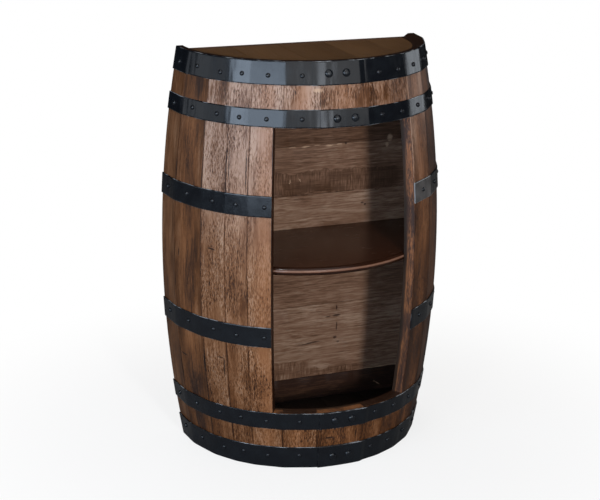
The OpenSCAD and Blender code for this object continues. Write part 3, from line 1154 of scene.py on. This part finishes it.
@dataclass(frozen=True)
class Heads:
    """The top and the floor: boards from front to back, with a tongue in the croze groove of the staves."""

    joints: tuple[float, ...] = (-154, -49, 59, 159)
    thickness: float = 22.0
    tongue: float = 9.0
    croze_depth: float = 5.0
    fit: float = 0.3
    gap: float = 0.4
    arris: float = 0.8
    tones: tuple[float, ...] = (0.5, 0.6, 0.45, 0.55, 0.5)

    def half_disc(self, low: float) -> Shape:
        """Makes half of a round head with its tongue.

        Args:
            low: Height of its underside.

        Returns:
            The shape.
        """
        cheek = (self.thickness - self.tongue) / 2
        levels = (low, low + cheek, low + self.thickness - cheek, low + self.thickness)
        edge, under, over, top = ((BARREL.inner_r(z) - self.fit, z) for z in levels)
        tongue = [(radius + self.croze_depth, z) for radius, z in (under, over)]
        outline = [(0, low), edge, under, *tongue, over, top, (0, levels[-1])]
        return spun(outline, spread(-90, 90, 60), weld=True)

    def board(self, number: int, low: float) -> Shape:
        """Cuts one board out of a head.

        Args:
            number: Its number, from 1 at the left.
            low: Height of the head's underside.

        Returns:
            The shape, with its long arrises rounded.
        """
        bm = self.half_disc(low)
        ends = (-BARREL.bilge_d, *self.joints, BARREL.bilge_d)
        left, right = ends[number - 1] + self.gap / 2, ends[number] - self.gap / 2
        for x, side in ((left, -1), (right, 1)):
            cut = sliced(bm, (x * MM, 0, 0), (side, 0, 0), clear_outer=True)
            rim = [item for item in cut if isinstance(item, Edge)]
            if rim:
                bmesh.ops.contextual_create(bm, geom=rim)
        bmesh.ops.dissolve_limit(bm, angle_limit=math.radians(0.5), verts=bm.verts, edges=bm.edges)
        bmesh.ops.recalc_face_normals(bm, faces=bm.faces)
        planes = {0: (left, right), 2: (low, low + self.thickness)}
        bevelled(bm, lambda edge: lies_on(edge, planes), self.arris)
        return bm

    def build(self, kind: str, material: Material) -> None:
        """Makes the boards of one head.

        Args:
            kind: "top" or "floor".
            material: The finish.
        """
        low = heights(f"{kind}_board_1")[0]
        for number, tone in enumerate(self.tones, 1):
            name = f"{kind}_board_{number}"
            piece = Piece(f"oak_{name}", name, f"{kind}_oak", Grain.FRONT_TO_BACK, tone, 0.3)
            piece.add(self.board(number, low), material)


@dataclass(frozen=True)
class Back:
    """The back: sawn boards from side to side, of old wood with worn joints."""

    side_gap: float = 8.0
    step: float = 12.0
    wear: float = 1.1
    unworn_end: float = 20.0
    arris: float = 1.0
    # The first board, below the sill, has the lowest tone: a painted shadow of the sill.
    tones: tuple[float, ...] = (0.0, 0.69, 0.62, 0.67, 0.57, 0.38, 0.38)
    coarse: tuple[float, ...] = (0.3, 0.4, 0.3, 0.4, 0.3, 0.3, 0.3)

    def board(self, number: int) -> Shape:
        """Makes one board, whose ends follow the curve of the barrel.

        Args:
            number: Its number, from 1 at the bottom.

        Returns:
            The shape, with worn front arrises.
        """
        first, last = (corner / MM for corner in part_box(f"back_board_{number}"))
        pick = random.Random(number)
        bm = bmesh.new()
        bmesh.ops.create_cube(bm, size=1.0)
        steps = round((last.x - first.x) / self.step)
        for x in spread(-0.5, 0.5, steps)[1:-1]:
            sliced(bm, (x, 0, 0), (1, 0, 0))
        for z in (-1 / 6, 1 / 6):
            sliced(bm, (0, 0, z), (0, 0, 1))
        for vertex in bm.verts:
            z = first.z + (vertex.co.z + 0.5) * (last.z - first.z)
            x = vertex.co.x * 2 * (BARREL.wood_r(z) - self.side_gap)
            vertex.co = Vector((x, first.y if vertex.co.y < 0 else last.y, z)) * MM
        bevelled(bm, lambda edge: lies_on(edge, {1: (first.y,), 2: (first.z, last.z)}), self.arris)
        for vertex in bm.verts:
            x, y, z = vertex.co / MM
            away = max(y - first.y, min(abs(z - first.z), abs(z - last.z)))
            if away < self.arris + 0.1 and abs(x) < last.x - self.unworn_end:
                vertex.co.y += pick.uniform(0, self.wear) * MM
        return bm

    def build(self, material: Material) -> None:
        """Makes the seven boards.

        Args:
            material: The finish.
        """
        for number, look in enumerate(zip(self.tones, self.coarse), 1):
            name = f"back_board_{number}"
            piece = Piece(f"old_{name}", name, "back_wood", Grain.SIDE_TO_SIDE, *look)
            piece.add(self.board(number), material)


@dataclass(frozen=True)
class Shelf:
    """The shelf: a half-round panel with a rounded front edge."""

    fit: float = 0.45
    rounding: float = 9.0
    round_steps: int = 8
    flat_end: float = 3.0
    nose_highlight: float = 0.5
    nose_shade: float = 0.4

    def build(self, material: Material) -> None:
        """Makes the shelf.

        Args:
            material: The finish.
        """
        low, high = heights("shelf")
        edge = BARREL.inner_r(low) - self.fit - self.rounding
        corner = [(edge + self.rounding * math.cos(rad), self.rounding * (1 - math.sin(rad)))
                  for rad in spread(0, math.pi / 2, self.round_steps)]
        outline = [(0, low), (edge - self.flat_end, low), *[(x, low + up) for x, up in corner[::-1]],
                   *[(x, high - up) for x, up in corner], (edge - self.flat_end, high), (0, high)]

        def worn(point: Vector) -> float:
            """Gives the worn pale middle of the rounded edge a painted highlight, and painted shade beside
            it.

            Args:
                point: A point of the shelf.

            Returns:
                How much darker it is.
            """
            _, radius, z = BARREL.polar(point)
            nose = -self.nose_highlight if -1.5 < z - (low + high) / 2 < 4.5 else self.nose_shade
            return nose if radius >= edge + 1 else 0.0

        piece = Piece("half_round_shelf", "shelf", "shelf_wood", Grain.SIDE_TO_SIDE, 0.4, 0.1, 25.0)
        piece.add(spun(outline, spread(-90, 90, 90), weld=True), material, worn)


@dataclass(frozen=True)
class Cleats:
    """The three cleats under the shelf: a straight one on the back, and a curved one on each side."""

    thickness: float = 20.0
    fit: float = 0.45
    arris: float = 1.0
    arc: float = 15.0

    def add(self, name: str, grain: Grain, bm: Shape, material: Material) -> None:
        """Rounds the square corners of a cleat and adds it to the scene.

        Args:
            name: The node that it stands for.
            grain: How its fibres run.
            bm: Its shape.
            material: The finish.
        """
        bmesh.ops.recalc_face_normals(bm, faces=bm.faces)
        bevelled(bm, lambda edge: edge.calc_face_angle(0.0) > math.radians(60), self.arris)
        Piece(f"sawn_{name}", name, "cleat_wood", grain).add(bm, material)

    def build(self, material: Material, side_staves: dict[str, int]) -> None:
        """Makes the cleats.

        Args:
            material: The finish.
            side_staves: Name of each side cleat, and the stave that it is screwed to.
        """
        first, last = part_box("back_cleat")
        bm = bmesh.new()
        matrix = Matrix.Translation((first + last) / 2) @ Matrix.Diagonal((*(last - first), 1))
        bmesh.ops.create_cube(bm, size=1.0, matrix=matrix)
        self.add("back_cleat", Grain.SIDE_TO_SIDE, bm, material)
        low, high = heights("back_cleat")
        inner = BARREL.inner_r((low + high) / 2) - self.thickness
        outer = BARREL.inner_r(low) - self.fit
        for name, stave in side_staves.items():
            middle = BARREL.middle(stave)
            steps = spread(middle - self.arc / 2, middle + self.arc / 2, 8)
            bm = spun([(inner, low), (outer, low), (outer, high), (inner, high)], steps)
            self.add(name, Grain.FRONT_TO_BACK, bm, material)


@dataclass(frozen=True)
class Screws:
    """Countersunk wood screws with a cross recess."""

    shank_d: float = 4.2
    head_d: float = 8.4
    edge: float = 25.0
    cleat_end: float = 70.0
    shelf_end: float = 150.0
    shelf_arc: float = 4.0
    recess_w: float = 1.1
    recess_l: float = 4.6
    recess_depth: float = 1.6

    def add(self, name: str, length: float, places: Sequence[Matrix], material: Material) -> None:
        """Adds one group of screws.

        Args:
            name: The node that they stand for.
            length: Their length.
            places: Where they stand, in metres, with +Z out of the head.
            material: The finish.
        """
        head, shank = self.head_d / 2, self.shank_d / 2
        screw = turned(((0, 0), (head - 0.2, 0), (head, -0.2), (shank, shank - head - 0.3),
                        (shank, 4 * shank - length), (0, -length)), 24)
        for sizes in ((self.recess_l, self.recess_w), (self.recess_w, self.recess_l)):
            cutter = bmesh.new()
            matrix = Matrix.Diagonal((sizes[0] * MM, sizes[1] * MM, 2 * self.recess_depth * MM, 1))
            bmesh.ops.create_cube(cutter, size=1.0, matrix=matrix)
            screw = cut_away(screw, cutter)
        pick = random.Random(name)
        turns = [place @ Matrix.Rotation(pick.uniform(0, 3), 4, "Z") for place in places]
        Piece(f"zinc_{name}", name, "screw_zinc").add(copied(screw, turns), material)

    def build(self, material: Material, side_staves: dict[str, int]) -> None:
        """Makes every screw.

        Args:
            material: The finish.
            side_staves: Name of each side cleat, and the stave that it is screwed to.
        """
        backwards, forwards, down = turn(-90, "X"), turn(90, "X"), turn(180, "X")
        places = []
        for number in range(1, 8):
            low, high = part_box(f"back_board_{number}")
            for z in (low.z + self.edge * MM, high.z - self.edge * MM):
                x = BARREL.wood_r(z / MM) - (Back.side_gap + BARREL.stave_t) / 2
                places += [shift(side * x * MM, high.y, z) @ backwards for side in (-1, 1)]
        self.add("back_screws", 40, places, material)
        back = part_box("back_board_1")[1].y
        places = []
        for name in [f"{kind}_board_{number}" for kind in ("top", "floor") for number in range(1, 6)]:
            middle = sum(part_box(name), Vector()) / 2
            places.append(shift(middle.x, back, middle.z) @ backwards)
        self.add("head_screws", 40, places, material)
        low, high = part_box("back_cleat")
        middle = (low + high) / 2
        reach = high.x - self.cleat_end * MM
        places = [shift(x, low.y, middle.z) @ forwards for x in (-reach, 0, reach)]
        axis = shift(0, BARREL.axis_y * MM, 0)
        sides = [axis @ turn(BARREL.middle(stave), "Z") for stave in side_staves.values()]
        inner = BARREL.inner_r(middle.z / MM)
        face = shift(0, (Cleats.thickness - inner) * MM, middle.z) @ backwards
        self.add("cleat_screws", 32, places + [side @ face for side in sides], material)
        reach = high.x - self.shelf_end * MM
        places = [shift(x, middle.y, low.z) @ down for x in (-reach, reach)]
        face = turn(self.shelf_arc, "Z") @ shift(0, (Cleats.thickness / 2 - inner) * MM, low.z) @ down
        self.add("shelf_screws", 40, places + [side @ face for side in sides], material)


@dataclass(frozen=True)
class Softbox:
    """A rectangular lamp that faces the barrel, given by what the barrel sees of it."""

    name: str
    azimuth: float
    elevation: float
    width: float
    height: float
    radiance: float
    distance: float = 3.0
    colour: str = "#ffffff"
    mirrored: bool = True

    def add(self) -> None:
        """Adds the lamp. Its width and height are angles, and its radiance is 1 where it would look white."""
        data = bpy.data.lights.new(self.name, "AREA")
        data.shape = "RECTANGLE"
        data.size = 2 * self.distance * math.tan(math.radians(self.width / 2))
        data.size_y = 2 * self.distance * math.tan(math.radians(self.height / 2))
        data.energy = self.radiance * math.pi * data.size * data.size_y
        data.color = linear(self.colour)[:3]
        lamp = in_scene(self.name, data)
        middle = shift(0, BARREL.axis_y * MM, BARREL.height / 2 * MM)
        lamp.matrix_world = middle @ facing(self.azimuth, self.elevation) @ shift(0, 0, self.distance)
        lamp.visible_camera, lamp.visible_glossy = False, self.mirrored


@dataclass(frozen=True)
class Studio:
    """The camera at the photograph's angle, plain soft lights, and a pale floor that runs into white."""

    camera_at: tuple[float, float, float] = (-1090.4, -2784.8, 1409.5)
    azimuth: float = -20.55
    elevation: float = 17.66
    roll: float = 0.43
    lens: float = 85.745
    curtain_r: float = 3.6
    curtain_h: float = 5.0
    curtain_low: float = 0.8
    curtain_gap: tuple[float, float] = (-27, 36)
    lamps: tuple[Softbox, ...] = (
        Softbox("front key", -1.7, 12, 4.8, 4.8, 255, 4.0, mirrored=False),
        Softbox("front glow", -0.5, 13, 18, 16, 3.5, colour="#dfe8f4"),
        Softbox("left fill", -102, 8, 35, 18, 0.76, colour="#e6eef6"),
        Softbox("left box", -69, 11, 16, 22, 7.0, colour="#cfe2f8"),
        Softbox("left front box", -44, 9, 32, 24, 5.1, colour="#cfe2f8"),
        Softbox("right box", 97, 11, 22, 22, 2.0, colour="#e6eef6"),
        Softbox("ceiling box", -20, 78, 50, 50, 0.6),
        Softbox("glint", -38, 52, 4, 4, 40),
        Softbox("back fill", 180, 30, 40, 40, 1.5, mirrored=False))

    def camera(self) -> None:
        """Sets up the camera."""
        data = bpy.data.cameras.new("camera")
        data.lens, data.sensor_width, data.sensor_fit, data.clip_end = self.lens, 36.0, "HORIZONTAL", 50.0
        camera = in_scene("camera", data)
        place = Matrix.Translation(Vector(self.camera_at) * MM)
        camera.matrix_world = place @ facing(self.azimuth, self.elevation) @ turn(self.roll, "Z")
        bpy.context.scene.camera = camera

    def curtain(self) -> None:
        """Makes the dark curtain round the sides and the back, which only reflections show."""
        bm = bmesh.new()
        bmesh.ops.create_cone(bm, cap_ends=True, segments=120, radius1=self.curtain_r, radius2=self.curtain_r,
                              depth=self.curtain_h, matrix=shift(0, 0, self.curtain_h / 2 - 0.01))
        sliced(bm, (0, 0, self.curtain_low), (0, 0, 1))
        gone = []
        for face in bm.faces:
            place = face.calc_center_median()
            angle = math.degrees(math.atan2(place.x, -place.y))
            gap = place.z > self.curtain_low and self.curtain_gap[0] < angle < self.curtain_gap[1]
            if abs(face.normal.z) < 0.5 and gap or face.normal.z < -0.5:
                gone.append(face)
        bmesh.ops.delete(bm, geom=gone, context="FACES")
        material, _, shader = new_material("black cloth")
        connect(shader, {"Base Color": "#080808", "Roughness": 1.0})
        curtain = in_scene("curtain", as_mesh("curtain", bm))
        curtain.data.materials.append(material)
        for ray in ("camera", "diffuse", "shadow", "transmission"):
            setattr(curtain, f"visible_{ray}", False)

    def floor(self) -> None:
        """Makes the floor: pale, with the object's shadow on it, and white further out."""
        bm = bmesh.new()
        bmesh.ops.create_grid(bm, x_segments=1, y_segments=1, size=12.0)
        material, tree, shader = new_material("pale floor")
        place = add_node(tree, "ShaderNodeTexCoord", output="Object")
        reach = add_node(tree, "ShaderNodeVectorMath", {0: place}, "Value", operation="LENGTH")
        seen = add_node(tree, "ShaderNodeLightPath", output="Is Camera Ray")
        glossy, passed = (Value(seen.node, name) for name in ("Is Glossy Ray", "Is Transmission Ray"))
        connect(shader, {"Base Color": seen.mix("#6a6a6a", "#f2f2f2"), "Roughness": 0.9})
        mirrored = seen.maths("MAXIMUM", glossy, passed) * reach.ramp(3.6, 5.0)
        white = seen * (reach.ramp(0.4, 1.1) * 0.22 + 0.78) + mirrored
        glow = add_node(tree, "ShaderNodeEmission", {"Color": "#ffffff", "Strength": 1.0})
        both = add_node(tree, "ShaderNodeMixShader", {0: white, 1: Value(shader), 2: glow})
        connect(tree.nodes["Material Output"], {"Surface": both})
        floor = in_scene("floor", as_mesh("floor", bm))
        floor.data.materials.append(material)

    def world(self) -> None:
        """Sets up the surroundings: a dim light for the object, and white for the camera."""
        world = bpy.data.worlds.new("studio")
        world.use_nodes = True
        bpy.context.scene.world = world
        tree = world.node_tree
        connect(tree.nodes["Background"], {"Color": "#f0e6da", "Strength": 0.25})
        white = add_node(tree, "ShaderNodeBackground", {"Color": "#ffffff", "Strength": 1.0})
        seen = add_node(tree, "ShaderNodeLightPath", output="Is Camera Ray")
        for name in ("Is Glossy Ray", "Is Transmission Ray"):
            seen = seen.maths("MAXIMUM", seen, Value(tree.nodes["Light Path"], name))
        both = add_node(tree, "ShaderNodeMixShader", {0: seen, 1: Value(tree.nodes["Background"]), 2: white})
        connect(tree.nodes["World Output"], {"Surface": both})

    def build(self) -> None:
        """Sets up everything that isn't part of the object."""
        bpy.context.scene.view_settings.view_transform = "Standard"
        self.camera()
        for lamp in self.lamps:
            lamp.add()
        self.floor()
        self.curtain()
        self.world()


# Marks on the staves, given by their place round the bilge and their height: knots, cracks and a nail's scar.
STAVE_KNOTS = (
    Mark(-306, 498, 10, 1.4, 6), Mark(-412, 469, 1.6, 10), Mark(-412, 230, 12, 1.6, 4),
    Mark(-281, 234, 1.8, 24, 2), Mark(-290, 254.5, 8, 1.3), Mark(-338, 231, 2.6, 22),
    Mark(-266, 680, 1.2, 40), Mark(-225, 677, 1.2, 44), Mark(173, 809, 1.4, 9),
    Mark(-62, 817, 1.2, 9), Mark(38, 75, 1.6, 12), Mark(-30, 73, 12, 2))
STAVE_CHIPS = (Mark(-68, 842, 12, 4),)
STAVE_STAINS = (
    Mark(180, 512, 6, 92), Mark(180, 295, 6, 42), Mark(-245, 398, 26, 45), Mark(-370, 415, 26, 95),
    Mark(-195, 208, 30, 40), Mark(-302, 828, 36, 26), Mark(12, 828, 112, 26), Mark(-395, 828, 48, 30))
# Marks on the back boards, given by their height and their place from left to right.
BACK_KNOTS = (
    Mark(243, 100, 3, 10), Mark(262, 101, 6, 2), Mark(216, 101, 11, 1.6), Mark(188, 97, 3, 5),
    Mark(177, 105, 2, 4), Mark(242, 79, 1.4, 7), Mark(180.5, 32, 1.8, 32, 5), Mark(509, 167, 2.5, 3),
    Mark(513, 160, 2, 4), Mark(657, 117, 3, 3))
BACK_CHIPS = (
    Mark(656, -12, 1.5, 9), Mark(655.5, 20, 2.2, 11, 2), Mark(656, 47, 1.5, 8), Mark(655, 78, 2, 9, -3),
    Mark(655.5, 101, 1.2, 7), Mark(580, 6, 5, 1.2, 30), Mark(577, -18, 6, 1.2), Mark(662, 226, 9, 7),
    Mark(646, 219, 6, 4), Mark(98.5, 203, 1.6, 42, 0.8), Mark(57, 207, 1.1, 11, -35))
BACK_SAWN = (Sawn(546, 597, -240, 235), Sawn(98, 140, -240, 20), Sawn(98, 114, -20, 150))

# A warm brown stain, with a pale greyish painted sheen high on coarse staves; the sawn side is orange and
# bare.
BARREL_OAK = Oak(
    "stained barrel oak", ("#2a170c", "#5a361b", "#825b3e", "#aa8a72"), ("#33211a", "#8c5a36", "#21170f"),
    roughness=0.42, knots=STAVE_KNOTS, chips=STAVE_CHIPS, stains=STAVE_STAINS, painted_sheen_heights=(450, 800))
# The top has an even coat, a dull yellowish brown.
TOP_OAK = Oak("dark stained head oak", ("#3c2814", "#5a3e22", "#694a2c", "#7e5e3e"), contrast=0.25)
# The floor and the cleats are almost black: a painted shade, for they lie deep in the barrel.
SHADED_FLOOR_OAK = Oak("dark floor oak", ("#0a0705", "#140d0a", "#1c130d", "#2c1f17"), contrast=0.6)
# Old boards: greyish brown with long fibres, rough saw strokes, nail holes and pale chips.
BACK_WOOD = Oak(
    "reclaimed back boards", ("#2a1a13", "#503829", "#735644", "#98806d"), blotchy=0.6, streaky=1.05,
    bend=9.0, fibre_w=4.0, pore=(2.6, 26.0), knots=BACK_KNOTS, knot_colour="#33211a", chips=BACK_CHIPS,
    sawn=BACK_SAWN, face=150.0)
# A dark varnish with a shine; the rounded edge is worn pale, with a painted highlight and shade beside it.
SHELF_WOOD = Oak(
    "dark varnished shelf", ("#27140b", "#381e13", "#442717", "#7c5c4c"), roughness=0.22, relief=0.2,
    contrast=0.4)


def main() -> None:
    """Builds the scene in order: the studio, the staves, the hoops, and the boards and screws inside."""
    logging.basicConfig(level=logging.INFO, format="%(message)s")
    Studio().build()
    steel, hoops = BlackSteel("black painted hoop steel").build(), Hoops()
    low, high = heights("bottom_quarter_hoop_left")[1], heights("top_quarter_hoop_left")[0]
    Staves().build(BARREL_OAK.build(), low, high)
    hoops.build(steel)
    Fasteners().build(steel, hoops)
    shaded_floor_oak = SHADED_FLOOR_OAK.build()
    Heads().build("top", TOP_OAK.build())
    Heads().build("floor", shaded_floor_oak)
    Back().build(BACK_WOOD.build())
    Shelf().build(SHELF_WOOD.build())
    side_staves = {"left_cleat": 1, "right_cleat": len(BARREL.shares) - 2}
    Cleats().build(shaded_floor_oak, side_staves)
    Screws().build(Zinc().build(), side_staves)


if __name__ == "__main__":
    main()
